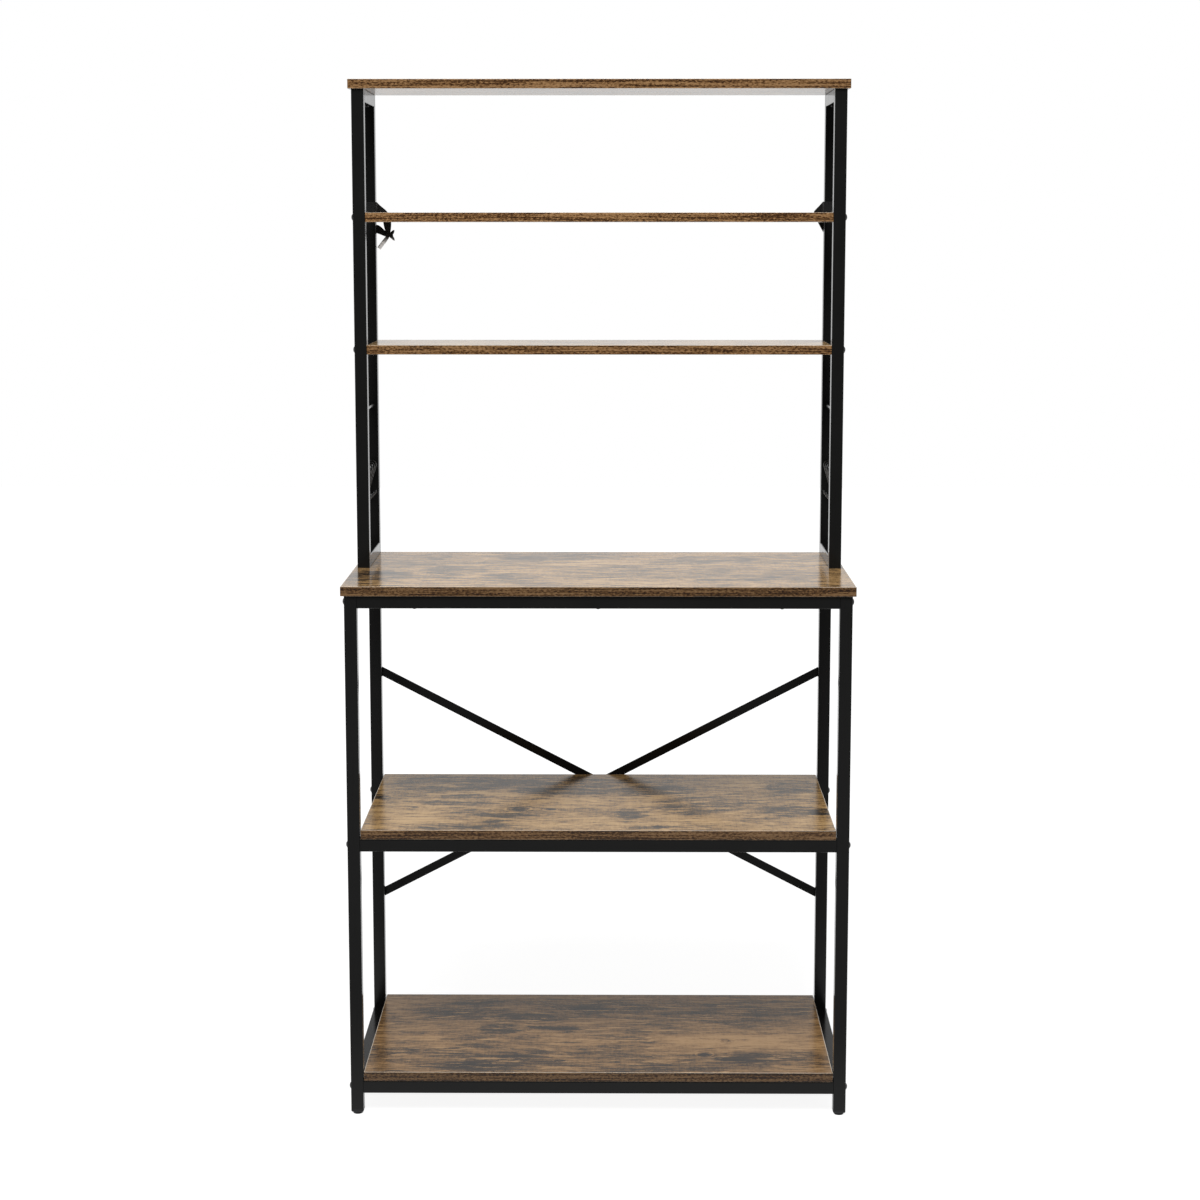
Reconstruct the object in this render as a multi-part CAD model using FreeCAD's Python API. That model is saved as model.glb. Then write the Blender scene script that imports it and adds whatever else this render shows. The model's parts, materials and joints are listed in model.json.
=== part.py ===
import FreeCAD, Part
import math
import os

# Kitchen rack: a base with two shelves and a worktop, and a half-depth hutch on its rear half.
# Millimetres. The origin is on the floor under the middle of the worktop, +Z up, the front faces -Y.

Vector = FreeCAD.Vector
X = Vector(1, 0, 0)
Y = Vector(0, 1, 0)
Z = Vector(0, 0, 1)
SIDES = (("left", -1), ("right", 1))

# Boards
WORKTOP_WIDTH = 800.0
WORKTOP_DEPTH = 400.0
TOP_DEPTH = 200.0
BOARD = 15.0
BOARD_ROUND = 0.7
SHELF_GAP = 1.0

# Steel tube and how far the worktop reaches past it
TUBE = 20.0
WALL = 1.2
TUBE_ROUND = 1.6
END_WALL = 3.0
OVERHANG = 5.0
REAR_OVERHANG = 8.0

# Heights in the base, from the floor
BOTTOM_RAIL_HEIGHT = 36.0
MID_RAIL_HEIGHT = 432.0
BASE_HEIGHT = 840.0

# Heights in the hutch, from the worktop
HUTCH_HEIGHT = 770.0
LOWER_SHELF_HEIGHT = 348.0
UPPER_SHELF_HEIGHT = 560.0
LOWER_ROD_HEIGHT = 155.0
UPPER_ROD_HEIGHT = 255.0

# X brace, with the heights of its bolts on the rear posts
BRACE_WIDTH = 14.0
BRACE_THICKNESS = 2.0
BRACE_LOW = 252.0
BRACE_HIGH = 653.0
SPACER_DIAMETER = 13.0
RIVET_DIAMETER = 5.0
RIVET_HEAD_DIAMETER = 10.0
RIVET_HEAD_HEIGHT = 2.0

# Bolts, nuts and screws
BOLT_DIAMETER = 6.0
BOLT_HEAD_DIAMETER = 11.0
BOLT_HEAD_HEIGHT = 3.0
BOLT_SOCKET = 4.0
BOLT_REACH = 10.0
NUT_DIAMETER = 11.0
NUT_HEIGHT = 5.0
BARREL_DIAMETER = 10.0
BARREL_INSET = 24.0
BARREL_COVER = 3.0
SCREW_DIAMETER = 4.0
SCREW_HEAD_DIAMETER = 8.0
SCREW_HEAD_HEIGHT = 2.2
SCREW_COVER = 5.0
BOARD_SCREW_SPACING = 286.0
HUTCH_BOLT_SPACING = 96.0
TOP_SCREW_SPACING = 100.0
HOLE_PLAY = 0.2
HEAD_RIM = 0.25
SOCKET_DEPTH = 1.8

# Feet
PAD_DIAMETER = 16.0
PAD_HEIGHT = 4.3
PAD_ROUND = 1.8
PLUG_FLANGE = 4.7
PLUG_ROUND = 2.4
PLUG_LENGTH = 22.0
STUD_DIAMETER = 6.0
STUD_LENGTH = 20.0
SLIDE_PLAY = 0.6

# Hook rods and S hooks
ROD_DIAMETER = 8.0
HOOKS_PER_ROD = 5
HOOK_PITCH = 30.0
HOOK_WIRE = 2.8
HOOK_PLAY = 1.6
HOOK_HEIGHT = 60.0
HOOK_TIP_ANGLE = 18.0
HOOK_TIP_ROUND = 1.1
SEAT_GAP = 0.3

# Anti-tip straps: reach inwards from the post, and height over or under the top of the upper shelf
STRAP_WIDTH = 19.0
STRAP_THICKNESS = 1.5
LEFT_TAIL = ((0, 17), (19, 2), (24.5, -16), (23, -28), (27, -30), (22.5, -35), (27, -44), (19, -41),
             (4, -60), (1, -56), (14, -39), (1, -33), (0, -18), (2, -18), (16, -32), (11, -23), (11, -2))
RIGHT_TAIL = ((0, 19), (17, 2), (8, -17), (1, -29), (0, -29))

# Places that follow from these sizes
FRAME_X = WORKTOP_WIDTH / 2 - OVERHANG
POST_X = FRAME_X - TUBE / 2
INNER_X = FRAME_X - TUBE
FRONT = -WORKTOP_DEPTH / 2 + OVERHANG
REAR = WORKTOP_DEPTH / 2 - REAR_OVERHANG
HUTCH_FRONT = WORKTOP_DEPTH / 2 - TOP_DEPTH + OVERHANG
FRONT_POST_Y = FRONT + TUBE / 2
REAR_POST_Y = REAR - TUBE / 2
HUTCH_POST_Y = HUTCH_FRONT + TUBE / 2
HUTCH_MIDDLE_Y = (HUTCH_FRONT + REAR) / 2
POST_BOTTOM = PAD_HEIGHT + PLUG_FLANGE
TUBE_INNER_ROUND = max(TUBE_ROUND - WALL, WALL / 4)
WORKTOP_HEIGHT = BASE_HEIGHT + BOARD
TOP_PANEL_BOTTOM = WORKTOP_HEIGHT + HUTCH_HEIGHT
BOLT_HOLE = BOLT_DIAMETER + 2 * HOLE_PLAY
SCREW_HOLE = SCREW_DIAMETER + 2 * HOLE_PLAY
BASE_POSTS = (("front", FRONT_POST_Y), ("rear", REAR_POST_Y))
HUTCH_POSTS = (("front", HUTCH_POST_Y), ("rear", REAR_POST_Y))
RAIL_LEVELS = (("bottom", BOTTOM_RAIL_HEIGHT), ("mid", MID_RAIL_HEIGHT), ("worktop", BASE_HEIGHT - TUBE))
LOWER_SHELF_BOTTOM = WORKTOP_HEIGHT + LOWER_SHELF_HEIGHT
UPPER_SHELF_BOTTOM = WORKTOP_HEIGHT + UPPER_SHELF_HEIGHT
SHELF_LEVELS = (("lower", LOWER_SHELF_BOTTOM), ("upper", UPPER_SHELF_BOTTOM))
LOWER_ROD_Z = WORKTOP_HEIGHT + LOWER_ROD_HEIGHT
UPPER_ROD_Z = WORKTOP_HEIGHT + UPPER_ROD_HEIGHT
ROD_LEVELS = (("lower", LOWER_ROD_Z), ("upper", UPPER_ROD_Z))
SCREW_PLACES = (-BOARD_SCREW_SPACING, 0, BOARD_SCREW_SPACING)
BRACE_RISE = BRACE_HIGH - BRACE_LOW


def placed(shape, start, direction):
    """A copy of a shape made along +Z from the origin, turned to a direction and moved to a start."""
    moved = shape.copy()
    moved.Placement = FreeCAD.Placement(start, FreeCAD.Rotation(Z, direction))
    return moved


def square_bar(side, radius, length):
    """A square bar along +Z with rounded long edges."""
    bar = Part.makeBox(side, side, length, Vector(-side / 2, -side / 2, 0))
    long_edges = [edge for edge in bar.Edges if abs(edge.tangentAt(0).z) > 0.5]
    return bar.makeFillet(radius, long_edges)


def tube(start, direction, length, end_wall=0.0):
    """A hollow square tube, open at both ends or closed by two welded end walls."""
    cavity = square_bar(TUBE - 2 * WALL, TUBE_INNER_ROUND, length - 2 * end_wall)
    cavity.translate(Z * end_wall)
    return placed(square_bar(TUBE, TUBE_ROUND, length).cut(cavity), start, direction)


def hole(start, direction, length, diameter):
    """A round cutter."""
    return Part.makeCylinder(diameter / 2, length, start, direction)


def revolved(profile):
    """A solid turned about Z from a closed wire in the XZ plane."""
    return Part.Face(Part.Wire(profile)).revolve(Vector(0, 0, 0), Z, 360)


def line(start, end):
    return Part.LineSegment(start, end).toShape()


def arc(start, middle, end):
    return Part.Arc(start, middle, end).toShape()


def domed_pin(head_diameter, head_height, shank_diameter, shank_length):
    """A pin with a domed head: the head stands on Z = 0 and the shank points down."""
    head = head_diameter / 2
    shank = shank_diameter / 2
    rim = head_height * HEAD_RIM
    rise = head_height - rim
    sphere = (head ** 2 + rise ** 2) / (2 * rise)
    half_turn = math.asin(head / sphere) / 2
    crown = Vector(0, 0, head_height)
    shoulder = Vector(head, 0, rim)
    middle = crown + Vector(sphere * math.sin(half_turn), 0, sphere * (math.cos(half_turn) - 1))
    foot = Vector(0, 0, -shank_length)
    profile = [
        line(foot, Vector(shank, 0, -shank_length)),
        line(Vector(shank, 0, -shank_length), Vector(shank, 0, 0)),
        line(Vector(shank, 0, 0), Vector(head, 0, 0)),
        line(Vector(head, 0, 0), shoulder),
        arc(shoulder, middle, crown),
        line(crown, foot),
    ]
    return revolved(profile)


def socket_bolt(shank_length):
    """A domed machine bolt with a hexagon socket."""
    bolt = domed_pin(BOLT_HEAD_DIAMETER, BOLT_HEAD_HEIGHT, BOLT_DIAMETER, shank_length)
    corner = BOLT_SOCKET / math.sqrt(3)
    floor = BOLT_HEAD_HEIGHT - SOCKET_DEPTH
    points = []
    for step in range(7):
        turn = math.radians(60 * step)
        points.append(Vector(corner * math.cos(turn), corner * math.sin(turn), floor))
    recess = Part.Face(Part.makePolygon(points)).extrude(Z * BOLT_HEAD_HEIGHT)
    return bolt.cut(recess)


def board(width, front, rear, bottom):
    """A laminate board with slightly eased edges, centred side to side."""
    blank = Part.makeBox(width, rear - front, BOARD, Vector(-width / 2, front, bottom))
    return blank.makeFillet(BOARD_ROUND, blank.Edges)


def drilled(shape, cutters):
    """A shape less all its holes."""
    return shape.cut(Part.makeCompound(cutters))


def rail_screw_places(height):
    """Where screws go up through the front and rear rails whose underside is at a height."""
    return [Vector(x, y, height) for _, y in BASE_POSTS for x in SCREW_PLACES]


def side_rail_places(spacing, height):
    """Two places on each side rail under or over the hutch, a spacing apart and at a height."""
    steps = (HUTCH_MIDDLE_Y - spacing / 2, HUTCH_MIDDLE_Y + spacing / 2)
    return [Vector(sign * POST_X, y, height) for _, sign in SIDES for y in steps]


def hutch_bolt_places():
    """Where the long bolts go up through the top side rails, the worktop and the hutch."""
    return side_rail_places(HUTCH_BOLT_SPACING, BASE_HEIGHT - TUBE)


def top_screw_places():
    """Where screws go up through the top rails of the hutch into the top panel."""
    return side_rail_places(TOP_SCREW_SPACING, TOP_PANEL_BOTTOM - TUBE)


def screw_holes(places):
    """Holes for screws: through a tube, and up into the board that lies on it."""
    return [hole(place, Z, TUBE + BOARD - SCREW_COVER, SCREW_HOLE) for place in places]


def brace_bolt_places():
    """The four brace bolts: where the rear post face is, and which bar of the brace each one holds."""
    places = []
    for _, sign in SIDES:
        falling, rising = (BRACE_HIGH, BRACE_LOW) if sign < 0 else (BRACE_LOW, BRACE_HIGH)
        places.append((Vector(sign * POST_X, REAR, falling), 0))
        places.append((Vector(sign * POST_X, REAR, rising), 1))
    return places


def base_posts():
    """Four uprights of the base, drilled for the rail bolts and, at the rear, for the brace."""
    nodes = {}
    for side, sign in SIDES:
        for end, y in BASE_POSTS:
            post = tube(Vector(sign * POST_X, y, POST_BOTTOM), Z, BASE_HEIGHT - POST_BOTTOM)
            cutters = []
            for _, height in RAIL_LEVELS:
                start = Vector(sign * (POST_X - TUBE), y, height + TUBE / 2)
                cutters.append(hole(start, X * sign, 2 * TUBE, BOLT_HOLE))
            if end == "rear":
                for place, _ in brace_bolt_places():
                    cutters.append(hole(place - Y * TUBE / 2, Y, TUBE, BOLT_HOLE))
            nodes[f"base_post_{end}_{side}"] = drilled(post, cutters)
    return nodes


def base_side_rails():
    """Front-to-back rails welded between the posts, at the bottom shelf and under the worktop."""
    nodes = {}
    length = REAR - FRONT - 2 * TUBE
    bolts = [hole(place, Z, TUBE, BOLT_HOLE) for place in hutch_bolt_places()]
    for side, sign in SIDES:
        start = Vector(sign * POST_X, FRONT + TUBE, TUBE / 2)
        nodes[f"base_side_rail_bottom_{side}"] = tube(start + Z * BOTTOM_RAIL_HEIGHT, Y, length)
        upper = tube(start + Z * (BASE_HEIGHT - TUBE), Y, length)
        nodes[f"base_side_rail_top_{side}"] = drilled(upper, bolts)
    return nodes


def cross_rails():
    """Side-to-side rails with threaded end walls, bolted between the posts."""
    nodes = {}
    for level, height in RAIL_LEVELS:
        screws = screw_holes(rail_screw_places(height))
        for end, y in BASE_POSTS:
            start = Vector(-INNER_X, y, height + TUBE / 2)
            rail = tube(start, X, 2 * INNER_X, END_WALL)
            far = start + X * 2 * INNER_X
            threads = [hole(start, X, END_WALL, BOLT_HOLE), hole(far, -X, END_WALL, BOLT_HOLE)]
            nodes[f"{level}_rail_{end}"] = drilled(rail, screws + threads)
    return nodes


def base_boards():
    """Bottom shelf and middle shelf between the posts, and the worktop over them."""
    nodes = {}
    names = {"bottom": "bottom_shelf", "mid": "mid_shelf", "worktop": "worktop"}
    for level, height in RAIL_LEVELS:
        if level == "worktop":
            blank = board(WORKTOP_WIDTH, -WORKTOP_DEPTH / 2, WORKTOP_DEPTH / 2, height + TUBE)
            bolts = [hole(place, Z, TUBE + BOARD, BOLT_HOLE) for place in hutch_bolt_places()]
        else:
            blank = board(2 * (INNER_X - SHELF_GAP), FRONT, REAR, height + TUBE)
            bolts = []
        nodes[names[level]] = drilled(blank, bolts + screw_holes(rail_screw_places(height)))
    return nodes


def brace():
    """X brace behind the rear posts: two flat bars that cross, a rivet, and spacers under the outer bar."""
    nodes = {}
    span = math.hypot(2 * POST_X, BRACE_RISE)
    half = span / 2
    edge = BRACE_WIDTH / 2
    middle = Vector(0, REAR, (BRACE_LOW + BRACE_HIGH) / 2)
    outline = Part.Wire([
        line(Vector(-half, 0, edge), Vector(half, 0, edge)),
        arc(Vector(half, 0, edge), Vector(half + edge, 0, 0), Vector(half, 0, -edge)),
        line(Vector(half, 0, -edge), Vector(-half, 0, -edge)),
        arc(Vector(-half, 0, -edge), Vector(-half - edge, 0, 0), Vector(-half, 0, edge)),
    ])
    blank = Part.Face(outline).extrude(Y * BRACE_THICKNESS)
    holes = [hole(Vector(x, 0, 0), Y, BRACE_THICKNESS, BOLT_HOLE) for x in (-half, half)]
    holes.append(hole(Vector(0, 0, 0), Y, BRACE_THICKNESS, RIVET_DIAMETER + 2 * HOLE_PLAY))
    flat = drilled(blank, holes)
    slope = math.degrees(math.atan2(BRACE_RISE, 2 * POST_X))
    for index, turn in enumerate((slope, -slope)):
        bar = flat.copy()
        bar.rotate(Vector(0, 0, 0), Y, turn)
        bar.translate(middle + Y * index * BRACE_THICKNESS)
        nodes[f"cross_brace_bar_{index + 1}"] = bar
    stack = 2 * BRACE_THICKNESS
    rivet = domed_pin(RIVET_HEAD_DIAMETER, RIVET_HEAD_HEIGHT, RIVET_DIAMETER, stack)
    nodes["cross_brace_rivet"] = placed(rivet, middle + Y * stack, Y)
    ring = Part.makeCylinder(SPACER_DIAMETER / 2, BRACE_THICKNESS)
    ring = ring.cut(hole(Vector(0, 0, 0), Z, BRACE_THICKNESS, BOLT_HOLE))
    spacers = [placed(ring, place, Y) for place, layer in brace_bolt_places() if layer]
    nodes["cross_brace_spacers"] = Part.makeCompound(spacers)
    bolts = []
    for place, layer in brace_bolt_places():
        grip = (layer + 1) * BRACE_THICKNESS
        bolts.append(placed(socket_bolt(grip + BOLT_REACH), place + Y * grip, Y))
    nodes["cross_brace_bolts"] = Part.makeCompound(bolts)
    return nodes


def feet():
    """Plugs in the lower ends of the posts, and the screw feet that stand under them."""
    nodes = {}
    bore = STUD_DIAMETER + SLIDE_PLAY
    flange = square_bar(TUBE, TUBE_ROUND, PLUG_FLANGE)
    low_edges = [edge for edge in flange.Edges if edge.BoundBox.ZMax < PLUG_FLANGE / 2]
    flange = flange.makeFillet(PLUG_ROUND, low_edges)
    spigot = square_bar(TUBE - 2 * WALL - 2 * HOLE_PLAY, TUBE_INNER_ROUND, PLUG_FLANGE / 2 + PLUG_LENGTH)
    spigot.translate(Z * PLUG_FLANGE / 2)
    plug = flange.fuse(spigot).removeSplitter()
    plug = plug.cut(hole(Vector(0, 0, 0), Z, PLUG_FLANGE + PLUG_LENGTH, bore))
    pad = Part.makeCylinder(PAD_DIAMETER / 2, PAD_HEIGHT)
    sole = [edge for edge in pad.Edges if edge.BoundBox.ZMax < PAD_HEIGHT / 2]
    pad = pad.makeFillet(PAD_ROUND, sole)
    foot = pad.fuse(Part.makeCylinder(STUD_DIAMETER / 2, PAD_HEIGHT + STUD_LENGTH)).removeSplitter()
    plugs = []
    for side, sign in SIDES:
        for end, y in BASE_POSTS:
            place = Vector(sign * POST_X, y, 0)
            plugs.append(placed(plug, place + Z * PAD_HEIGHT, Z))
            nodes[f"levelling_foot_{end}_{side}"] = placed(foot, place, Z)
    nodes["foot_plugs"] = Part.makeCompound(plugs)
    return nodes


def hutch_frames():
    """Welded side frames of the hutch: two posts, a top rail, a bottom rail and two thin rods a side."""
    nodes = {}
    length = REAR - HUTCH_FRONT - 2 * TUBE
    bolts = [hole(place, Z, TUBE + BOARD + 2 * WALL, BOLT_HOLE) for place in hutch_bolt_places()]
    screws = screw_holes(top_screw_places())
    for side, sign in SIDES:
        for end, y in HUTCH_POSTS:
            post = tube(Vector(sign * POST_X, y, WORKTOP_HEIGHT), Z, HUTCH_HEIGHT)
            cutters = []
            for _, height in SHELF_LEVELS:
                start = Vector(sign * (POST_X - TUBE), y, height + BOARD / 2)
                cutters.append(hole(start, X * sign, 2 * TUBE, BOLT_HOLE))
            nodes[f"hutch_post_{end}_{side}"] = drilled(post, cutters)
        start = Vector(sign * POST_X, HUTCH_FRONT + TUBE, TUBE / 2)
        nodes[f"hutch_bottom_rail_{side}"] = drilled(tube(start + Z * WORKTOP_HEIGHT, Y, length), bolts)
        top_rail = tube(start + Z * (TOP_PANEL_BOTTOM - TUBE), Y, length)
        nodes[f"hutch_top_rail_{side}"] = drilled(top_rail, screws)
        for level, height in ROD_LEVELS:
            rod_start = Vector(sign * POST_X, HUTCH_FRONT + TUBE, height)
            nodes[f"hook_rod_{level}_{side}"] = hole(rod_start, Y, length, ROD_DIAMETER)
    return nodes


def shelf_bolt_places():
    """Outer post faces at the ends of the hutch shelves, with the way each bolt's head faces."""
    places = []
    for _, height in SHELF_LEVELS:
        for _, sign in SIDES:
            for _, y in HUTCH_POSTS:
                places.append((Vector(sign * FRAME_X, y, height + BOARD / 2), X * sign))
    return places


def barrel_nut_places():
    """Undersides of the hutch shelves over each barrel nut."""
    return [place - way * (TUBE + BARREL_INSET) - Z * BOARD / 2 for place, way in shelf_bolt_places()]


def hutch_boards():
    """Two shelves clamped between the hutch posts, and the top panel that lies on the hutch."""
    nodes = {}
    cutters = []
    for place, way in shelf_bolt_places():
        cutters.append(hole(place, -way, TUBE + BARREL_INSET + BOLT_REACH, BOLT_HOLE))
    for place in barrel_nut_places():
        cutters.append(hole(place, Z, BOARD - BARREL_COVER, BARREL_DIAMETER + 2 * HOLE_PLAY))
    for level, height in SHELF_LEVELS:
        nodes[f"hutch_shelf_{level}"] = drilled(board(2 * INNER_X, HUTCH_FRONT, REAR, height), cutters)
    top = board(WORKTOP_WIDTH, WORKTOP_DEPTH / 2 - TOP_DEPTH, WORKTOP_DEPTH / 2, TOP_PANEL_BOTTOM)
    nodes["top_panel"] = drilled(top, screw_holes(top_screw_places()))
    return nodes


def s_hook():
    """One S hook of round wire in the XZ plane, with the middle of its upper loop at the origin."""
    wire = HOOK_WIRE / 2
    radius = (ROD_DIAMETER + HOOK_PLAY) / 2 + wire
    half = (HOOK_HEIGHT - 2 * (radius + wire)) / 2
    lean = math.asin(radius / half)
    tip_turn = math.radians(180 + HOOK_TIP_ANGLE)
    tip = Vector(radius * math.cos(tip_turn), 0, half + radius * math.sin(tip_turn))
    leave = Vector(radius * math.cos(lean), 0, half - radius * math.sin(lean))
    crown = Vector(0, 0, half + radius)
    path = Part.Wire([arc(tip, crown, leave), line(leave, -leave), arc(-leave, -crown, -tip)])
    along = path.Edges[0].tangentAt(path.Edges[0].FirstParameter)
    section = Part.Wire(Part.makeCircle(wire, tip, along))
    hook = path.makePipeShell([section], True, False)
    rims = []
    for end in (tip, -tip):
        rims += [edge for edge in hook.Edges if (edge.CenterOfMass - end).Length < wire / 2]
    hook = hook.makeFillet(HOOK_TIP_ROUND, rims)
    hook.translate(-Z * half)
    return hook


def s_hooks():
    """A row of S hooks on each lower rod, facing inwards."""
    nodes = {}
    master = s_hook()
    drop = HOOK_PLAY / 2 - SEAT_GAP
    first = HUTCH_MIDDLE_Y - HOOK_PITCH * (HOOKS_PER_ROD - 1) / 2
    for side, sign in SIDES:
        for index in range(HOOKS_PER_ROD):
            hook = master.copy() if sign < 0 else master.mirror(Vector(0, 0, 0), X)
            hook.translate(Vector(sign * POST_X, first + index * HOOK_PITCH, LOWER_ROD_Z - drop))
            nodes[f"s_hook_{side}_{index + 1}"] = hook
    return nodes


def straps():
    """Webbing straps tied round the rear hutch posts on the upper shelf, with tails behind the shelf."""
    nodes = {}
    shelf_top = UPPER_SHELF_BOTTOM + BOARD
    inner = TUBE + 2 * SEAT_GAP
    outer = inner + 2 * STRAP_THICKNESS
    band = square_bar(outer, TUBE_ROUND + STRAP_THICKNESS, STRAP_WIDTH)
    band = band.cut(square_bar(inner, TUBE_ROUND, STRAP_WIDTH))
    for side, sign in SIDES:
        tail_points = LEFT_TAIL if sign < 0 else RIGHT_TAIL
        points = []
        for reach, height in tail_points:
            points.append(Vector(sign * (INNER_X - reach), REAR + SEAT_GAP, shelf_top + height))
        root_low = Vector(sign * POST_X, REAR + SEAT_GAP, shelf_top + SEAT_GAP)
        root_high = Vector(sign * POST_X, REAR + SEAT_GAP, points[0].z)
        outline = [root_low, root_high] + points
        behind = Vector(sign * INNER_X, REAR + SEAT_GAP, shelf_top + SEAT_GAP)
        outline = outline + [behind, root_low]
        tail = Part.Face(Part.makePolygon(outline)).extrude(Y * STRAP_THICKNESS)
        ring = placed(band, Vector(sign * POST_X, REAR_POST_Y, shelf_top + SEAT_GAP), Z)
        nodes[f"anti_tip_strap_{side}"] = ring.fuse(tail).removeSplitter()
    return nodes


def fasteners():
    """Bolts, nuts and screws: each kind is one group of separate pieces."""
    nodes = {}
    bolt = socket_bolt(TUBE + BOLT_REACH)
    bolts = []
    for _, sign in SIDES:
        for _, y in BASE_POSTS:
            for _, height in RAIL_LEVELS:
                bolts.append(placed(bolt, Vector(sign * FRAME_X, y, height + TUBE / 2), X * sign))
    nodes["rail_bolts"] = Part.makeCompound(bolts)
    long_bolt = socket_bolt(TUBE + BARREL_INSET + BOLT_REACH / 2)
    shelf_bolts = [placed(long_bolt, place, way) for place, way in shelf_bolt_places()]
    nodes["shelf_bolts"] = Part.makeCompound(shelf_bolts)
    barrels = []
    barrel = Part.makeCylinder(BARREL_DIAMETER / 2, BOARD - BARREL_COVER)
    thread = hole(Vector(-BARREL_DIAMETER, 0, BOARD / 2), X, 2 * BARREL_DIAMETER, BOLT_HOLE)
    barrel = barrel.cut(thread)
    nodes["barrel_nuts"] = Part.makeCompound([placed(barrel, place, Z) for place in barrel_nut_places()])
    hutch_bolt = socket_bolt(TUBE + BOARD + BOLT_REACH)
    hutch_bolts = [placed(hutch_bolt, place, -Z) for place in hutch_bolt_places()]
    nodes["hutch_bolts"] = Part.makeCompound(hutch_bolts)
    nut = Part.makeCylinder(NUT_DIAMETER / 2, NUT_HEIGHT)
    nut = nut.cut(hole(Vector(0, 0, 0), Z, NUT_HEIGHT, BOLT_HOLE))
    nuts = [placed(nut, place + Z * (TUBE + BOARD + WALL), Z) for place in hutch_bolt_places()]
    nuts = nuts + [placed(nut, place - Y * WALL, -Y) for place, _ in brace_bolt_places()]
    nodes["weld_nuts"] = Part.makeCompound(nuts)
    screw_length = TUBE + BOARD - SCREW_COVER - HOLE_PLAY
    screw = domed_pin(SCREW_HEAD_DIAMETER, SCREW_HEAD_HEIGHT, SCREW_DIAMETER, screw_length)
    places = top_screw_places()
    for _, height in RAIL_LEVELS:
        places = places + rail_screw_places(height)
    nodes["board_screws"] = Part.makeCompound([placed(screw, place, -Z) for place in places])
    return nodes


def main():
    nodes = {}
    for make in (base_posts, base_side_rails, cross_rails, base_boards, brace, feet, hutch_frames,
                 hutch_boards, s_hooks, straps, fasteners):
        nodes.update(make())
    os.makedirs("parts", exist_ok=True)
    for name, shape in nodes.items():
        shape.exportStep(f"parts/{name}.step")
    print(len(nodes), "nodes,", sum(len(shape.Solids) for shape in nodes.values()), "solids")


main()
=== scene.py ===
import bpy
import json
import math
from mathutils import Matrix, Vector


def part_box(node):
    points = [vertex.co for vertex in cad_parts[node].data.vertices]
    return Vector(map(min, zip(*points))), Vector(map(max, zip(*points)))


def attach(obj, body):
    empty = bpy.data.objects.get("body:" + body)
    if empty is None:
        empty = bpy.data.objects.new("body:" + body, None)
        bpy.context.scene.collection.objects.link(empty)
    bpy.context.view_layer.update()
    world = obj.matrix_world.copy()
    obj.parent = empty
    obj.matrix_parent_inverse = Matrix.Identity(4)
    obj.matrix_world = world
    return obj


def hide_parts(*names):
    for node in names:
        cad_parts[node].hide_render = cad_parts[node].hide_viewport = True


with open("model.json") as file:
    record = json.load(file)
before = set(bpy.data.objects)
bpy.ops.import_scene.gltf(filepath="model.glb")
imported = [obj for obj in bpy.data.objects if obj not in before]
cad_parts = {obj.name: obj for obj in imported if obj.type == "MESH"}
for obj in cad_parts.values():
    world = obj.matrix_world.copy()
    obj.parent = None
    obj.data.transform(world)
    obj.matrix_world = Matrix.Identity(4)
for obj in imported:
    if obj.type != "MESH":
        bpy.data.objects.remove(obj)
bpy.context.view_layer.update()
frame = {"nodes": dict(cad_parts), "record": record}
MM = 0.001

# Camera, fitted to the photograph's straight edges, in pixels of the 1200 by 1200 picture.
# Its axis stays near the middle of the picture, so that views from other sides are not cut.
PICTURE = 1200.0
SENSOR = 36.0
FOCAL_PIXELS = 2360.0
AXIS_ROW = 552.0
CAMERA_PLACE = (0.02856, -3.81034, 1.40528)
CAMERA_PITCH = 0.1364
CAMERA_TURN = 0.0071

# Lights: a white surface that faces the key light renders about white
AMBIENT = 0.30
KEY_PLACE = (-0.3, -2.6, 3.6)
KEY_TARGET = (0, 0, 0.7)
KEY_SIZE = 2.0
KEY_POWER = 165.0
FILL_PLACE = (2.2, -2.6, 1.8)
FILL_TARGET = (0, 0, 0.8)
FILL_SIZE = 2.4
FILL_POWER = 10.0

# What reflections see: a white backdrop that dims away from the level view and towards the front
DIM_ABOVE = 0.50
DIM_FRONT = 0.12
BACKDROP_RISE = (0.08, 0.24)
BACKDROP_FRONT = (-0.7, 0.1)

# Floor: half its width, its greys without and with the glow, and where the glow changes, in metres
FLOOR_HALF = 9.0
FLOOR_PALE = 0.50
FLOOR_SOFT = 0.30
FLOOR_GLOW = 0.90
FLOOR_FADE = (0.6, 2.4)
FLOOR_FRONT = (-0.8, 0.0)

# Powder coat
BLACK = (0.0062, 0.0062, 0.0060)

# Laminate, dark to pale: the faces, the streaked edge bands, and the pale rim round the faces, a painted
# highlight
FACE_STOPS = (
    (0.18, (0.024, 0.018, 0.013)),
    (0.36, (0.092, 0.058, 0.030)),
    (0.50, (0.245, 0.150, 0.064)),
    (0.63, (0.365, 0.227, 0.096)),
    (0.84, (0.510, 0.336, 0.156)),
)
EDGE_STOPS = (
    (0.22, (0.024, 0.010, 0.004)),
    (0.38, (0.066, 0.031, 0.011)),
    (0.50, (0.120, 0.061, 0.023)),
    (0.72, (0.215, 0.123, 0.056)),
)
# The pale rim is a painted highlight along the edges of the faces, this wide:
RIM = 1.2 * MM
PAINTED_HIGHLIGHT_COLOUR = (0.62, 0.52, 0.41)
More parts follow.
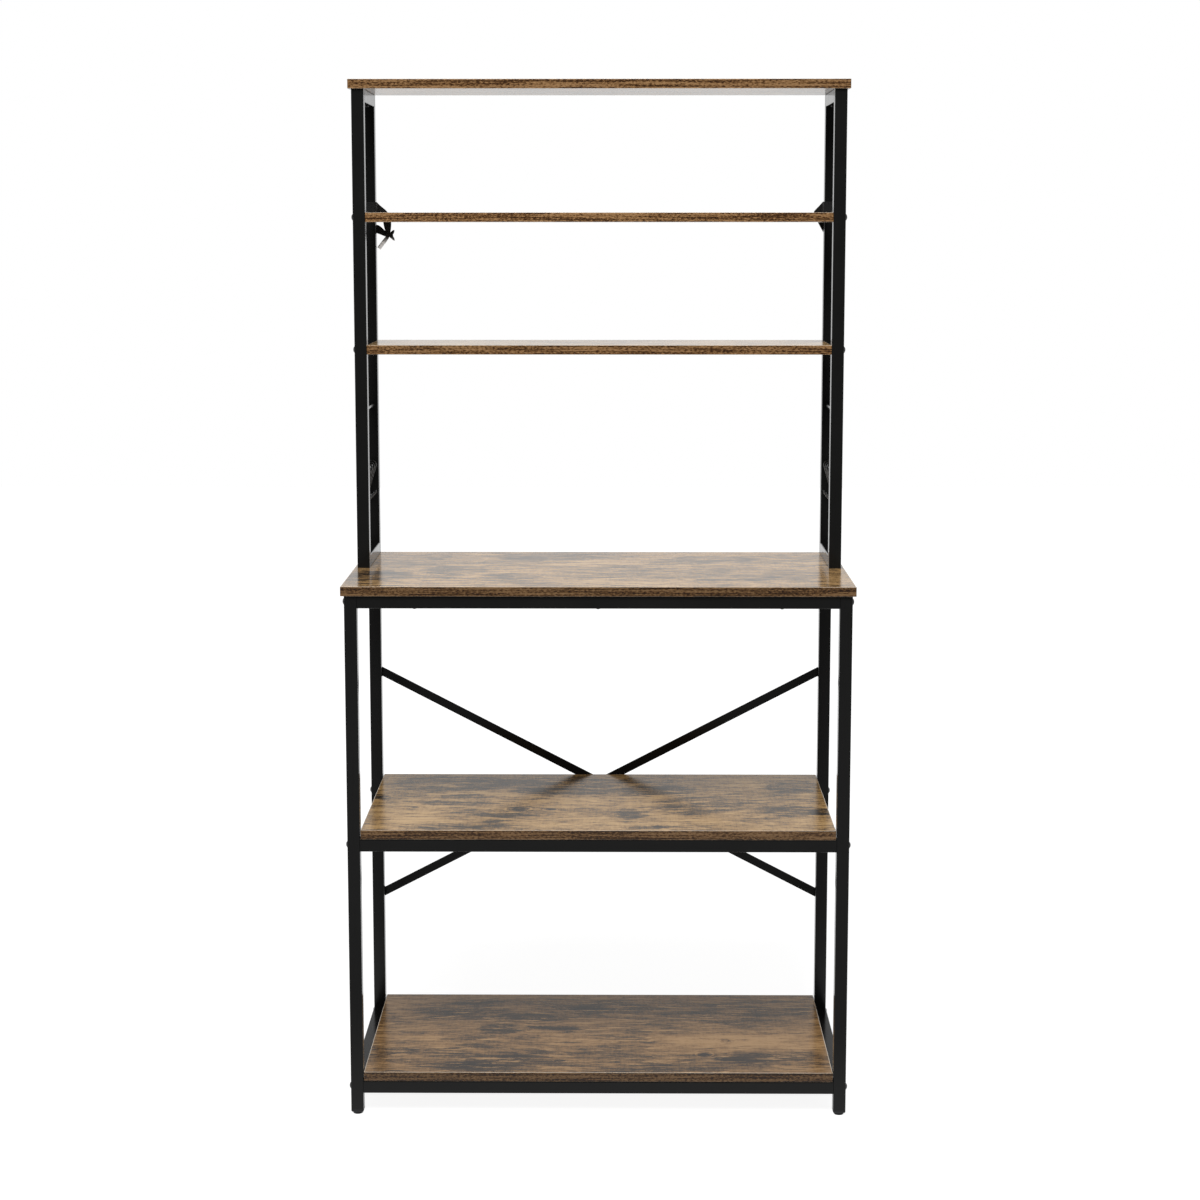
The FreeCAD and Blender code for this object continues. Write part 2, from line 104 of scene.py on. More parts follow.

# Each board's own stretch of grain, tones and marks. Knots are centres and sizes, in metres on the board.
# Dark clouds and pale glints are centres, sizes and strengths. The tints and edge brightnesses are painted
# light and shading that make lit and shaded copies of one laminate, the bottom shelf darkest.
BOARDS = {
    "worktop": dict(
        seed=(0.0, 0.0, 0.0), painted_edge_light=0.72, tint=(1.15, 1.12, 1.10), mottle=1.0, sheen=0.34,
        clouds=(((-0.36, -0.08), (0.07, 0.07), 0.30), ((-0.23, -0.02), (0.07, 0.06), 0.26),
                ((-0.14, -0.10), (0.05, 0.06), 0.24), ((0.18, 0.10), (0.09, 0.06), 0.26),
                ((0.22, -0.10), (0.08, 0.05), 0.22), ((-0.06, 0.14), (0.16, 0.05), 0.20)),
        glints=(((-0.01, 0.05), (0.14, 0.05), 0.16), ((0.15, 0.04), (0.10, 0.04), 0.14),
                ((-0.27, -0.14), (0.10, 0.04), 0.14), ((0.05, -0.14), (0.14, 0.05), 0.14)),
    ),
    "mid_shelf": dict(
        seed=(3.1, 0.7, 0.2), painted_edge_light=0.79, tint=(1.10, 1.07, 1.00), mottle=0.85, sheen=0.36, rough=0.255,
        knots=(((-0.132, -0.056), 0.015), ((-0.079, -0.058), 0.008), ((-0.300, -0.045), 0.006)),
        clouds=(((-0.25, 0.12), (0.13, 0.07), 0.30), ((-0.224, 0.031), (0.05, 0.020), 0.30),
                ((-0.235, -0.020), (0.08, 0.018), 0.24), ((-0.157, -0.097), (0.06, 0.018), 0.32),
                ((-0.163, -0.152), (0.022, 0.040), 0.34), ((0.051, -0.088), (0.030, 0.036), 0.36),
                ((0.16, -0.03), (0.08, 0.08), 0.24), ((0.31, -0.069), (0.06, 0.045), 0.34),
                ((0.32, 0.10), (0.05, 0.06), 0.24), ((0.0, 0.10), (0.20, 0.08), 0.20),
                ((-0.235, -0.172), (0.06, 0.022), 0.28), ((0.08, -0.175), (0.04, 0.012), 0.26),
                ((-0.368, 0.030), (0.020, 0.022), 0.42), ((0.360, -0.072), (0.030, 0.024), 0.42),
                ((-0.10, 0.065), (0.06, 0.035), 0.24), ((0.10, 0.075), (0.07, 0.040), 0.26)),
        glints=(((-0.31, -0.09), (0.10, 0.11), 0.20), ((-0.04, -0.14), (0.14, 0.06), 0.20),
                ((0.14, -0.150), (0.12, 0.05), 0.16), ((-0.26, 0.106), (0.05, 0.018), 0.40),
                ((-0.03, -0.005), (0.12, 0.05), 0.16), ((0.26, 0.12), (0.07, 0.05), 0.18),
                ((0.34, -0.13), (0.05, 0.03), 0.20), ((0.343, 0.035), (0.030, 0.030), 0.26)),
    ),
    "bottom_shelf": dict(
        seed=(6.4, 1.9, 0.4), painted_edge_light=0.64, tint=(0.77, 0.70, 0.66), mottle=0.9, sheen=0.33, rough=0.26,
        along=9.0, grain=0.75, gold=0.6,
        knots=(((0.210, -0.045), 0.011), ((0.172, -0.110), 0.010), ((-0.063, -0.142), 0.007)),
        clouds=(((-0.16, 0.105), (0.20, 0.07), 0.20), ((0.08, 0.12), (0.16, 0.05), 0.18),
                ((0.30, -0.130), (0.13, 0.04), 0.28), ((-0.22, -0.125), (0.20, 0.07), 0.18),
                ((0.28, 0.12), (0.14, 0.05), 0.14), ((-0.165, 0.008), (0.045, 0.035), 0.28),
                ((-0.074, 0.014), (0.05, 0.014), 0.24), ((0.0, -0.150), (0.40, 0.06), 0.11)),
        glints=(((0.24, -0.045), (0.18, 0.040), 0.24), ((0.35, -0.065), (0.07, 0.025), 0.26),
                ((-0.03, 0.000), (0.14, 0.03), 0.14), ((-0.32, -0.028), (0.10, 0.018), 0.20),
                ((-0.35, 0.137), (0.05, 0.04), 0.18), ((0.02, -0.165), (0.12, 0.03), 0.12)),
    ),
    "hutch_shelf_lower": dict(seed=(9.2, 2.8, 0.7), painted_edge_light=1.10),
    "hutch_shelf_upper": dict(seed=(12.7, 3.6, 0.9), painted_edge_light=1.15),
    "top_panel": dict(seed=(15.9, 4.5, 1.3)),
}

# Webbing of the straps: its size, its threads, and the length over which its end turns pale and partly
# metallic
WEB_THICKNESS = 1.3 * MM
WEB_WIDTH = 19.0 * MM
THREAD = 1.5 * MM
PALE_END_FADE = 12.0 * MM


def make_camera():
    data = bpy.data.cameras.new("camera")
    data.sensor_width = SENSOR
    data.lens = FOCAL_PIXELS / PICTURE * SENSOR
    data.shift_y = (AXIS_ROW - PICTURE / 2) / PICTURE
    camera = bpy.data.objects.new("camera", data)
    camera.location = CAMERA_PLACE
    camera.rotation_euler = (math.pi / 2 - CAMERA_PITCH, 0, CAMERA_TURN)
    bpy.context.scene.collection.objects.link(camera)
    bpy.context.scene.camera = camera


class Graph:
    """Short calls for the nodes of one material or world."""

    def __init__(self, tree):
        self.tree = tree
        tree.nodes.clear()

    def add(self, kind, inputs=(), **settings):
        node = self.tree.nodes.new(kind)
        for key, value in settings.items():
            setattr(node, key, value)
        for key, value in dict(inputs).items():
            if isinstance(value, bpy.types.NodeSocket):
                self.tree.links.new(value, node.inputs[key])
            else:
                node.inputs[key].default_value = value
        return node

    def math(self, operation, a, b=0.0, c=0.0):
        return self.add("ShaderNodeMath", {0: a, 1: b, 2: c}, operation=operation).outputs[0]

    def vector(self, operation, a, b=(0.0, 0.0, 0.0)):
        return self.add("ShaderNodeVectorMath", {0: a, 1: b}, operation=operation).outputs[0]

    def length(self, vector):
        return self.add("ShaderNodeVectorMath", {0: vector}, operation="LENGTH").outputs["Value"]

    def split(self, vector):
        return self.add("ShaderNodeSeparateXYZ", {0: vector}).outputs

    def ease(self, value, low, high, to_low=0.0, to_high=1.0):
        """Smooth step of a value from one range to another."""
        inputs = {"Value": value, "From Min": low, "From Max": high, "To Min": to_low, "To Max": to_high}
        return self.add("ShaderNodeMapRange", inputs, interpolation_type="SMOOTHSTEP").outputs[0]

    def stretch(self, vector, scale, place=(0, 0, 0)):
        return self.add("ShaderNodeMapping", {"Vector": vector, "Scale": scale, "Location": place}).outputs[0]

    def noise(self, vector, scale, detail=2.0, rough=0.5, output="Fac"):
        """Noise over a vector that is first scaled by three numbers of spots in a metre."""
        inputs = {"Vector": self.stretch(vector, scale), "Scale": 1.0, "Detail": detail, "Roughness": rough}
        return self.add("ShaderNodeTexNoise", inputs).outputs[output]

    def ramp(self, value, stops):
        node = self.add("ShaderNodeValToRGB", {"Fac": value})
        elements = node.color_ramp.elements
        while len(elements) < len(stops):
            elements.new(1.0)
        for element, (place, colour) in zip(elements, stops):
            element.position = place
            element.color = (*colour, 1.0)
        return node.outputs["Color"]

    def mix(self, share, a, b):
        """The first colour where the share is 0, the second where it is 1."""
        node = self.add("ShaderNodeMix", data_type="RGBA")
        for index, value in ((0, share), (6, a), (7, b)):
            if isinstance(value, bpy.types.NodeSocket):
                self.tree.links.new(value, node.inputs[index])
            elif index == 0:
                node.inputs[index].default_value = value
            else:
                node.inputs[index].default_value = (*value, 1.0)
        return node.outputs[2]

    def bump(self, height, strength, distance):
        inputs = {"Height": height, "Strength": strength, "Distance": distance}
        return self.add("ShaderNodeBump", inputs).outputs["Normal"]

    def surface(self, inputs):
        shader = self.add("ShaderNodeBsdfPrincipled", inputs)
        self.add("ShaderNodeOutputMaterial", {"Surface": shader.outputs[0]})


def new_graph(name):
    material = bpy.data.materials.new(name)
    material.use_nodes = True
    return material, Graph(material.node_tree)


def spot(graph, place, centre, size):
    """How far a point is from the middle of an oval mark on a board: 1 at the mark's rim."""
    shift = graph.vector("SUBTRACT", place, (*centre, 0.0))
    return graph.length(graph.vector("MULTIPLY", shift, (1 / size[0], 1 / size[1], 0.0)))


def tinted(stops, tint):
    """Colour stops with the three parts of each colour times those of the tint."""
    return [(level, tuple(part * share for part, share in zip(colour, tint))) for level, colour in stops]


def face_tone(graph, place, moved, mottle=1.1, along=13.0, grain=1.0, gold=0.24,
              knots=(), clouds=(), glints=()):
    """How pale a board's face is, and the streaks and fine grain in it.

    Mottle, grain and gold are the weights of the blotches, the grain and the short pale dashes; along is how
    many streaks there are in a metre of length.
    """
    wander = graph.noise(moved, (2.5, 6.0, 6.0), 2.0)
    swing = graph.math("MULTIPLY_ADD", wander, 0.06, -0.03)
    grain_place = graph.vector("ADD", moved, graph.add("ShaderNodeCombineXYZ", {"Y": swing}).outputs[0])
    ragged = graph.noise(moved, (15.0, 42.0, 42.0), 8.0, 0.78, "Color")
    ragged = graph.vector("SUBTRACT", ragged, (0.5, 0.5, 0.5))
    ragged = graph.vector("MULTIPLY", ragged, (0.13, 0.06, 0.0))
    mark_place = graph.vector("ADD", place, ragged)
    knot_place = graph.vector("ADD", place, graph.vector("MULTIPLY", ragged, (0.12, 0.12, 0.0)))

    cloud = graph.noise(grain_place, (5.5, 9.0, 9.0), 8.0, 0.66)
    streak = graph.noise(grain_place, (along, 75.0, 75.0), 8.0, 0.78)
    fine = graph.noise(grain_place, (40.0, 260.0, 260.0), 5.0, 0.78)
    crack = graph.noise(grain_place, (17.0, 150.0, 150.0), 5.0, 0.70)
    saw = graph.noise(moved, (280.0, 22.0, 22.0), 4.0, 0.72)
    tone = graph.math("MULTIPLY_ADD", cloud, mottle, 0.54 - 0.5 * mottle)
    for layer, weight in ((streak, 1.25), (fine, 1.50), (saw, 0.36)):
        weight *= grain
        tone = graph.math("ADD", tone, graph.math("MULTIPLY_ADD", layer, weight, -weight / 2))
    for centre, size, depth in clouds:
        share = graph.ease(spot(graph, mark_place, centre, size), 1.0, 0.65)
        share = graph.math("MULTIPLY", share, graph.ease(streak, 0.62, 0.40, 0.45, 1.0))
        tone = graph.math("MULTIPLY_ADD", share, -depth, tone)
    for centre, size, depth in glints:
        share = graph.ease(spot(graph, mark_place, centre, size), 1.0, 0.3)
        share = graph.math("MULTIPLY", share, graph.ease(streak, 0.38, 0.60, 0.2, 1.0))
        tone = graph.math("MULTIPLY_ADD", share, depth, tone)
    tone = graph.math("MULTIPLY_ADD", graph.ease(crack, 0.41, 0.34), -0.32, tone)
    tone = graph.math("MULTIPLY_ADD", graph.ease(crack, 0.57, 0.63), gold, tone)
    for centre, size in knots:
        away = spot(graph, knot_place, centre, (size * 1.15, size))
        rings = graph.math("SINE", graph.math("MULTIPLY", away, 11.0))
        near = graph.ease(away, 2.2, 0.9)
        tone = graph.math("MULTIPLY_ADD", graph.math("MULTIPLY", near, rings), 0.10, tone)
        tone = graph.math("MULTIPLY_ADD", graph.ease(away, 1.1, 0.5), -0.40, tone)
    return tone, streak, fine


def edge_tone(graph, moved):
    """How pale a board's edge band is: long lines with specks."""
    lines = graph.noise(moved, (9.0, 9.0, 420.0), 2.0, 0.6)
    specks = graph.noise(moved, (190.0, 190.0, 480.0), 3.0, 0.7)
    return graph.math("MULTIPLY_ADD", lines, 1.6, graph.math("MULTIPLY_ADD", specks, 2.2, -1.42))


def painted_highlight_share(graph, node, place, level):
    """How much of the painted highlight rim shows, from the distance to the sides of the board's box."""
    low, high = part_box(node)
    from_middle = graph.vector("ABSOLUTE", graph.vector("SUBTRACT", place, (low + high) / 2))
    sides = graph.split(graph.vector("SUBTRACT", (high - low) / 2, from_middle))
    rim = graph.ease(graph.math("MINIMUM", sides["X"], sides["Y"]), 1.2 * RIM, 0.8 * RIM)
    return graph.math("MULTIPLY", rim, graph.ease(level, 0.45, 0.70, 0.0, 0.9))


def laminate(node, seed, painted_edge_light=1.0, tint=(1.0, 1.0, 1.0), sheen=0.28, rough=0.23, **pattern):
    """Rustic woodgrain laminate, grain along X: faces with clouds and knots, streaked edge bands.

    The seed moves the grain, so that no two boards share it. The painted edge light is the brightness of the
    edge bands, and tint colours the faces. Both are painted light and shading: each board is a lit or shaded
    copy of one laminate. The pattern is passed on to the faces.
    """
    material, graph = new_graph(f"laminate_{node}")
    coordinates = graph.add("ShaderNodeTexCoord")
    place = coordinates.outputs["Object"]
    moved = graph.stretch(place, (1, 1, 1), seed)
    tone, streak, fine = face_tone(graph, place, moved, **pattern)
    # The tint and edge brightness of each board are painted light and shading.
    face = graph.ramp(tone, tinted(FACE_STOPS, tint))
    edge = graph.ramp(edge_tone(graph, moved), tinted(EDGE_STOPS, (painted_edge_light, painted_edge_light, painted_edge_light)))
    level = graph.math("ABSOLUTE", graph.split(coordinates.outputs["Normal"])["Z"])
    colour = graph.mix(graph.ease(level, 0.55, 0.85), edge, face)
    # The pale rim along the edges of the faces is a painted highlight.
    colour = graph.mix(painted_highlight_share(graph, node, place, level), colour, PAINTED_HIGHLIGHT_COLOUR)
    relief = graph.math("MULTIPLY_ADD", fine, 0.6, streak)
    graph.surface({
        "Base Color": colour,
        "Roughness": graph.math("MULTIPLY_ADD", streak, -0.10, rough),
        "Specular IOR Level": sheen,
        "Normal": graph.bump(relief, 0.06, 0.3 * MM),
    })
    return material


def powder_coat(name, rough, peel=850.0, relief=0.10, sheen=0.20):
    """Satin black coating with a fine orange peel and faint uneven gloss."""
    material, graph = new_graph(name)
    place = graph.add("ShaderNodeTexCoord").outputs["Object"]
    skin = graph.noise(place, (peel, peel, peel), 2.0, 0.5)
    patch = graph.noise(place, (14.0, 14.0, 14.0), 3.0, 0.6)
    dust = graph.ease(graph.noise(place, (260.0, 260.0, 260.0), 2.0), 0.70, 0.82)
    dark, pale, dusty = (tuple(share * part for part in BLACK) for share in (0.75, 1.2, 2.6))
    tint = graph.mix(patch, dark, pale)
    tint = graph.mix(graph.math("MULTIPLY", dust, 0.25), tint, dusty)
    gloss = graph.math("MULTIPLY_ADD", patch, 0.10, rough - 0.05)
    graph.surface({
        "Base Color": tint,
        "Roughness": graph.math("MULTIPLY_ADD", skin, 0.06, gloss),
        "Specular IOR Level": sheen,
        "Normal": graph.bump(skin, relief, 0.1 * MM),
    })
    return material


def zinc(name):
    """Bright zinc plating with turned lines and dull spots."""
    material, graph = new_graph(name)
    place = graph.add("ShaderNodeTexCoord").outputs["Object"]
    lines = graph.noise(place, (300.0, 300.0, 4000.0), 3.0)
    spots = graph.noise(place, (420.0, 420.0, 420.0), 3.0, 0.6)
    tint = graph.mix(spots, (0.46, 0.46, 0.45), (0.66, 0.66, 0.64))
    graph.surface({
        "Base Color": tint,
        "Metallic": 1.0,
        "Roughness": graph.math("MULTIPLY_ADD", lines, 0.2, 0.25),
        "Normal": graph.bump(lines, 0.15, 0.05 * MM),
    })
    return material


def moulded_plastic(name):
    """Black moulded plastic with a spark-eroded texture."""
    material, graph = new_graph(name)
    place = graph.add("ShaderNodeTexCoord").outputs["Object"]
    spark = graph.noise(place, (1500.0, 1500.0, 1500.0), 2.0)
    patch = graph.noise(place, (60.0, 60.0, 60.0), 3.0)
    graph.surface({
        "Base Color": graph.mix(patch, (0.010, 0.010, 0.011), (0.018, 0.018, 0.019)),
        "Roughness": graph.math("MULTIPLY_ADD", spark, 0.2, 0.40),
        "Specular IOR Level": 0.25,
        "Normal": graph.bump(spark, 0.25, 0.08 * MM),
    })
    return material


def webbing(name):
    """Woven webbing: staggered threads along the strap's own length, with painted shadow between them; pale
    and partly metallic towards its end.
    """
    material, graph = new_graph(name)
    place = graph.add("ShaderNodeUVMap", uv_map="webbing").outputs[0]
    weave = graph.add("ShaderNodeTexBrick", {
        "Vector": place, "Scale": 1.0, "Brick Width": THREAD, "Row Height": 0.7 * THREAD,
        "Mortar Size": 0.12 * THREAD, "Mortar Smooth": 1.0, "Bias": 0.0,
    })
    rib = graph.math("SINE", graph.math("MULTIPLY", graph.split(place)["X"], math.tau / THREAD))
    fuzz = graph.noise(graph.add("ShaderNodeTexCoord").outputs["Object"], (900.0, 900.0, 900.0), 3.0)
    height = graph.math("MULTIPLY_ADD", rib, 0.2, graph.math("SUBTRACT", 1.0, weave.outputs["Fac"]))
    pale_end = graph.add("ShaderNodeAttribute", attribute_name="pale_end").outputs["Fac"]
    thread = graph.mix(fuzz, (0.006, 0.006, 0.006), (0.030, 0.030, 0.030))
    # The gaps between the threads are darker: painted shadow.
    thread = graph.mix(weave.outputs["Fac"], thread, (0.003, 0.003, 0.003))
    # Towards its end the strap turns pale and partly metallic.
    tint = graph.mix(pale_end, thread, (0.86, 0.86, 0.85))
    graph.surface({
        "Base Color": tint,
        "Metallic": graph.math("MULTIPLY", pale_end, 0.5),
        "Roughness": graph.math("MULTIPLY_ADD", pale_end, -0.40, 0.75),
        "Specular IOR Level": 0.20,
        "Sheen Weight": 0.03,
        "Normal": graph.bump(height, 0.5, 0.25 * MM),
    })
    return material


def strap_point(sign, point):
    """A point of a strap, from millimetres: reach in from the post, depth, height over the upper shelf."""
    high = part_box("hutch_shelf_upper")[1]
    reach, depth, height = point
    return Vector((sign * (high.x - reach * MM), depth * MM, high.z + height * MM))


def ribbon_rows(sign, stations, columns=6, notch=0.0):
    """Rows of points across a strap, from the pairs of edge points along it; a notch cuts into its end."""
    rows = []
    for first, second in stations:
        start = strap_point(sign, first)
        end = strap_point(sign, second)
        rows.append([start.lerp(end, column / columns) for column in range(columns + 1)])
    if notch:
        back = (rows[-2][columns // 2] - rows[-1][columns // 2]).normalized() * notch * MM
        for column in range(1, columns):
            share = max(0.0, 1 - 2.2 * abs(2 * column / columns - 1))
            rows[-1][column] = rows[-1][column] + back * share
    return rows


def post_wrap(top):
    """Edge points of a strap once round a rear hutch post, from its inner face over the front to its rear."""
    gap = 1.05
    corner_gap = 0.75 * gap
    outside = -20.0
    low = 0.75
    corners = (
        (gap, 186.0), (gap, 176.0), (corner_gap, 171.4),
        (-2.0, 170.95), (-10.0, 170.9), (-18.0, 170.95),
        (outside - corner_gap, 171.4), (outside - gap, 176.0),
        (outside - gap, 188.5), (outside - corner_gap, 192.5),
    )
    return [((reach, depth, low), (reach, depth, top)) for reach, depth in corners]


def make_strap(name, sign, strips, pale_below):
    """One strap of webbing from strips of rows, with its thickness and threads, pale below a height."""
    points = []
    faces = []
    along = []
    for rows in strips:
        base = len(points)
        width = len(rows[0])
        length = 0.0
        for index, row in enumerate(rows):
            if index:
                length += (row[width // 2] - rows[index - 1][width // 2]).length
            points += row
            along += [(column / (width - 1) * WEB_WIDTH, length) for column in range(width)]
        for index in range(len(rows) - 1):
            for column in range(width - 1):
                corner = base + index * width + column
                faces.append((corner, corner + 1, corner + width + 1, corner + width))
    mesh = bpy.data.meshes.new(name)
    mesh.from_pydata(points, [], faces)
    layer = mesh.uv_layers.new(name="webbing")
    for loop in mesh.loops:
        layer.data[loop.index].uv = along[loop.vertex_index]
    pale_end = mesh.attributes.new("pale_end", "FLOAT", "POINT")
    low = strap_point(sign, (0, 0, pale_below)).z
    for index, point in enumerate(points):
        pale_end.data[index].value = min(max((low - point.z) / PALE_END_FADE, 0.0), 1.0)
    for polygon in mesh.polygons:
        polygon.use_smooth = True
    strap = bpy.data.objects.new(name, mesh)
    bpy.context.scene.collection.objects.link(strap)
    smooth = strap.modifiers.new("smooth", "SUBSURF")
    smooth.levels = 2
    smooth.render_levels = 2
    smooth.boundary_smooth = "PRESERVE_CORNERS"
    solid = strap.modifiers.new("thickness", "SOLIDIFY")
    solid.thickness = WEB_THICKNESS
    solid.offset = 0.0
    return strap


def left_strap(sign=-1):
    """Round the post, down behind the shelf on both sides of its corner, and tied in a knot below it."""
    riser = [
        ((15.5, 194.8, -35.0), (21.5, 194.8, -36.0)),
        ((13.2, 194.6, -28.0), (23.3, 194.4, -27.0)),
        ((11.2, 194.2, -20.0), (24.5, 194.0, -16.0)),
        ((10.0, 193.9, -9.0), (22.5, 193.7, -7.0)),
        ((5.0, 193.6, -3.0), (18.8, 193.5, 2.5)),
        ((1.8, 193.4, 0.2), (9.0, 193.4, 10.2)),
        ((1.05, 191.8, 0.6), (1.1, 192.4, 17.0)),
    ]
    back = [
        ((-18.0, 193.5, 0.7), (-20.0, 193.3, 18.4)),
        ((-1.6, 194.0, 0.4), (-19.4, 194.0, 18.2)),
        ((-1.5, 194.7, -8.0), (-19.4, 194.7, -4.0)),
        ((-1.6, 195.3, -34.0), (-19.3, 195.2, -17.0)),
        ((1.2, 195.7, -33.6), (2.2, 195.6, -18.0)),
        ((8.0, 195.8, -36.4), (9.4, 195.8, -25.2)),
        ((14.0, 195.6, -39.0), (16.2, 195.6, -32.0)),
        ((18.5, 195.4, -38.6), (20.0, 195.4, -34.4)),
    ]
    body = riser + post_wrap(18.4) + back
    stub = [
        ((18.5, 196.2, -33.5), (18.5, 196.2, -38.5)),
        ((21.5, 196.6, -32.4), (21.8, 196.6, -40.6)),
        ((24.4, 196.9, -29.8), (24.8, 196.9, -43.4)),
        ((26.2, 197.0, -28.2), (26.6, 197.0, -45.0)),
        ((29.0, 197.0, -27.8), (29.2, 197.0, -45.8)),
    ]
    tail = [
        ((17.2, 194.2, -37.0), (20.4, 197.4, -38.6)),
        ((13.6, 191.0, -40.6), (17.6, 199.0, -43.0)),
        ((8.0, 189.4, -48.0), (12.0, 199.6, -51.0)),
        ((1.2, 189.4, -57.0), (4.4, 199.4, -60.4)),
    ]
    knot = []
    middle = Vector((18.0, 195.4, -36.2))
    axis = Vector((0.80, 0.0, -0.60))
    rise = Vector((0.60, 0.0, 0.80))
    for step in range(13):
        turn = math.tau * step / 12
        lump = 1.0 + 0.10 * math.sin(3 * turn)
        centre = middle + rise * 4.2 * lump * math.cos(turn) + Vector((0, 3.0 * lump * math.sin(turn), 0))
        half = axis * (4.0 + 0.6 * math.cos(2 * turn))
        knot.append((centre - half, centre + half))
    strips = [ribbon_rows(sign, body), ribbon_rows(sign, stub, notch=4.4), ribbon_rows(sign, tail),
              ribbon_rows(sign, knot)]
    return make_strap("webbing_strap_left", sign, strips, pale_below=-39.0)


def right_strap(sign=1):
    """Round the post and down behind the shelf, where it folds back behind the post."""
    drop = [
        ((-8.0, 195.3, -46.0), (-18.6, 195.3, -34.0)),
        ((-5.0, 195.2, -40.0), (-15.0, 195.2, -28.0)),
        ((1.4, 195.0, -28.6), (-6.0, 195.0, -14.5)),
        ((8.2, 194.6, -16.6), (5.0, 194.6, -4.0)),
        ((10.6, 194.0, -12.0), (16.6, 194.0, 1.4)),
        ((5.4, 193.6, -4.0), (15.8, 193.5, 3.4)),
        ((1.8, 193.4, 0.2), (8.6, 193.4, 10.8)),
        ((1.05, 191.8, 0.6), (1.1, 192.4, 18.6)),
    ]
    back = [
        ((-18.0, 193.3, 0.75), (-18.0, 193.3, 18.9)),
        ((-10.0, 193.4, 0.75), (-10.0, 193.4, 18.9)),
        ((-1.5, 193.4, 0.75), (-1.5, 193.4, 18.9)),
    ]
    strips = [ribbon_rows(sign, drop + post_wrap(19.0) + back)]
    return make_strap("webbing_strap_right", sign, strips, pale_below=-90.0)


def make_straps():
    material = webbing("webbing")
    for side, strap in (("left", left_strap()), ("right", right_strap())):
        strap.data.materials.append(material)
        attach(strap, "frame")
        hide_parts(f"anti_tip_strap_{side}")


def dress_nodes():
    """Every CAD node gets the material of its slot, and each board its own stretch of grain."""
    by_slot = {
        "black_tube": powder_coat("black_powder_coat", 0.15),
        "black_fastener": powder_coat("black_fastener", 0.30, peel=1200.0),
        "hook_wire": powder_coat("black_wire_coat", 0.12, peel=600.0, relief=0.06, sheen=0.80),
        "foot_plastic": moulded_plastic("black_plastic"),
        "zinc_nut": zinc("zinc"),
        "strap_webbing": bpy.data.materials.get("webbing"),
    }
    for part in frame["record"]["subparts"]:
        node = part["node"]
        if node in BOARDS:
            material = laminate(node, **BOARDS[node])
        else:
            material = by_slot[part["material_slot"]]
        slots = frame["nodes"][node].data.materials
        slots.clear()
        slots.append(material)


def seen_directly(graph):
    """1 for rays that show the background: from the camera, or off a glossy or clear surface."""
    path = graph.add("ShaderNodeLightPath")
    shown = graph.math("MAXIMUM", path.outputs["Is Camera Ray"], path.outputs["Is Glossy Ray"])
    return path, graph.math("MAXIMUM", shown, path.outputs["Is Transmission Ray"])


def make_world():
    """White to the camera; in reflections a white backdrop, dimmer above and in front; soft ambient light."""
    world = bpy.data.worlds.new("studio")
    bpy.context.scene.world = world
    world.use_nodes = True
    graph = Graph(world.node_tree)
    way = graph.split(graph.add("ShaderNodeTexCoord").outputs["Generated"])
    path, shown = seen_directly(graph)
    backdrop = graph.ease(graph.math("ABSOLUTE", way["Z"]), *BACKDROP_RISE, 1.0, DIM_ABOVE)
    mirror = graph.math("MULTIPLY", backdrop, graph.ease(way["Y"], *BACKDROP_FRONT, DIM_FRONT, 1.0))
    level = graph.math("MAXIMUM", mirror, path.outputs["Is Camera Ray"])
    ambient = graph.math("MULTIPLY", graph.math("SUBTRACT", 1.0, shown), AMBIENT)
    strength = graph.math("MULTIPLY_ADD", shown, level, ambient)
    light = graph.add("ShaderNodeBackground", {"Color": (1.0, 1.0, 1.0, 1.0), "Strength": strength})
    graph.add("ShaderNodeOutputWorld", {"Surface": light.outputs[0]})


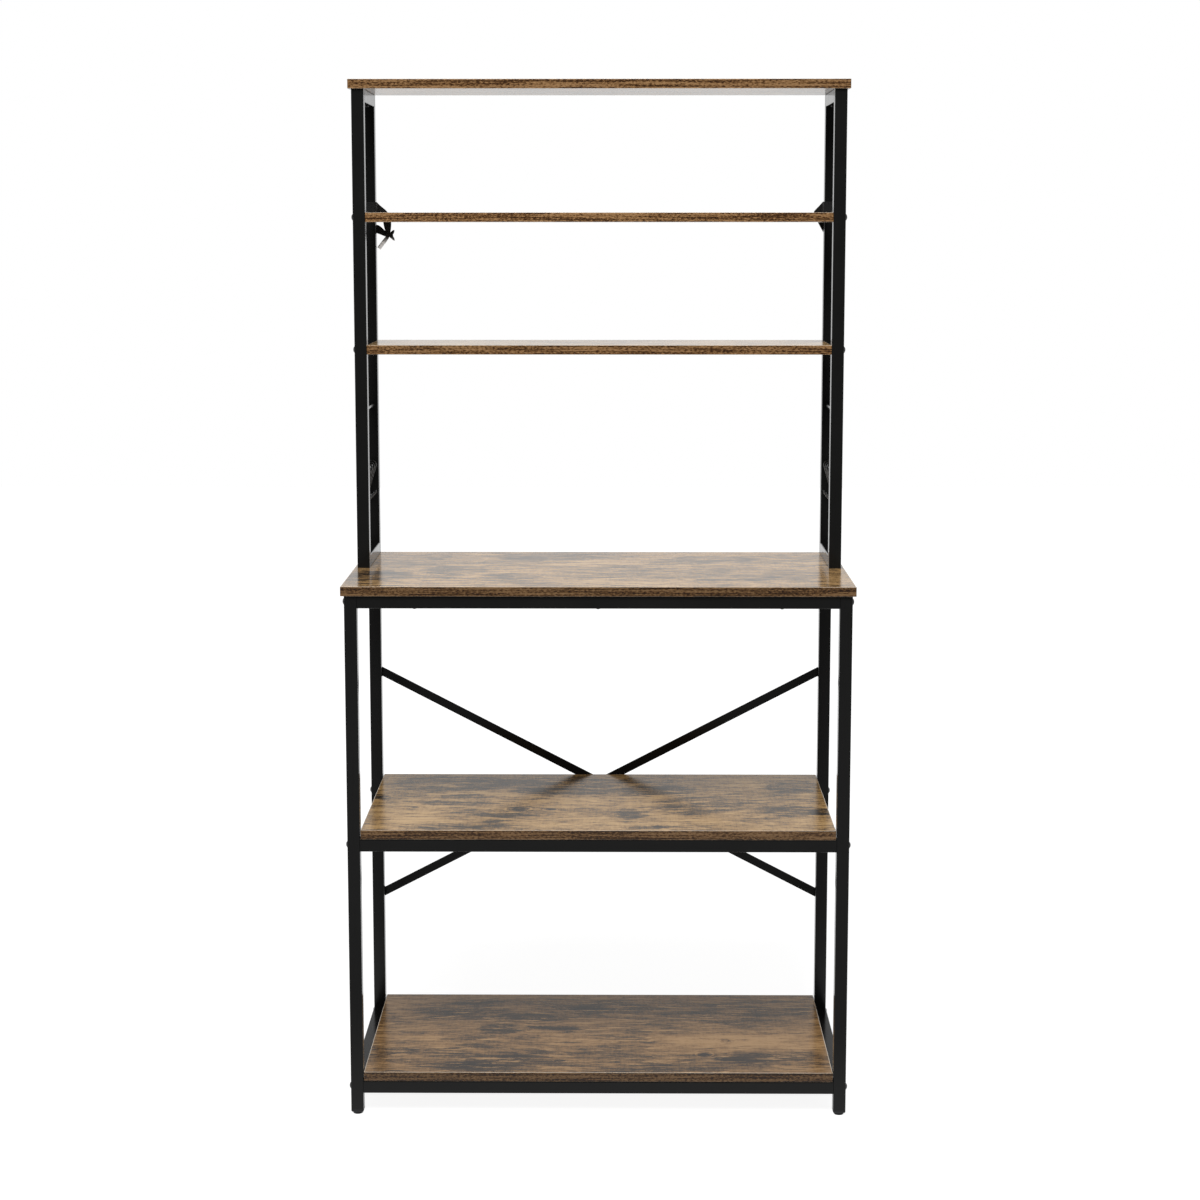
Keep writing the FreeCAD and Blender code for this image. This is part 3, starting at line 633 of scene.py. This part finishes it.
def make_floor():
    """A pale floor that shows white and keeps a soft shadow of the rack."""
    mesh = bpy.data.meshes.new("floor")
    corners = [(-FLOOR_HALF, -FLOOR_HALF, 0), (FLOOR_HALF, -FLOOR_HALF, 0), (FLOOR_HALF, FLOOR_HALF, 0),
               (-FLOOR_HALF, FLOOR_HALF, 0)]
    mesh.from_pydata(corners, [], [(0, 1, 2, 3)])
    floor = bpy.data.objects.new("floor", mesh)
    bpy.context.scene.collection.objects.link(floor)
    material, graph = new_graph("pale_floor")
    path, shown = seen_directly(graph)
    pale = graph.add("ShaderNodeBsdfDiffuse", {"Color": (FLOOR_PALE, FLOOR_PALE, FLOOR_PALE, 1.0)})
    soft = graph.add("ShaderNodeBsdfDiffuse", {"Color": (FLOOR_SOFT, FLOOR_SOFT, FLOOR_SOFT, 1.0)})
    place = graph.add("ShaderNodeTexCoord").outputs["Object"]
    level = graph.ease(graph.length(place), *FLOOR_FADE, FLOOR_GLOW, 1.0)
    front = graph.ease(graph.split(place)["Y"], *FLOOR_FRONT, DIM_FRONT, 1.0)
    level = graph.math("MULTIPLY", level, graph.math("MAXIMUM", front, path.outputs["Is Camera Ray"]))
    glow = graph.add("ShaderNodeEmission", {"Color": (1.0, 1.0, 1.0, 1.0), "Strength": level})
    white = graph.add("ShaderNodeAddShader", {0: soft.outputs[0], 1: glow.outputs[0]})
    both = graph.add("ShaderNodeMixShader", {0: shown, 1: pale.outputs[0], 2: white.outputs[0]})
    graph.add("ShaderNodeOutputMaterial", {"Surface": both.outputs[0]})
    mesh.materials.append(material)


def make_light(name, place, target, size, power):
    data = bpy.data.lights.new(name, "AREA")
    data.shape = "DISK"
    data.size = size
    data.energy = power
    lamp = bpy.data.objects.new(name, data)
    lamp.location = place
    lamp.rotation_euler = (Vector(target) - Vector(place)).to_track_quat("-Z", "Y").to_euler()
    lamp.visible_glossy = False
    bpy.context.scene.collection.objects.link(lamp)


make_camera()
make_straps()
dress_nodes()
make_world()
make_floor()
make_light("key", KEY_PLACE, KEY_TARGET, KEY_SIZE, KEY_POWER)
make_light("fill", FILL_PLACE, FILL_TARGET, FILL_SIZE, FILL_POWER)
bpy.context.scene.view_settings.view_transform = "Standard"
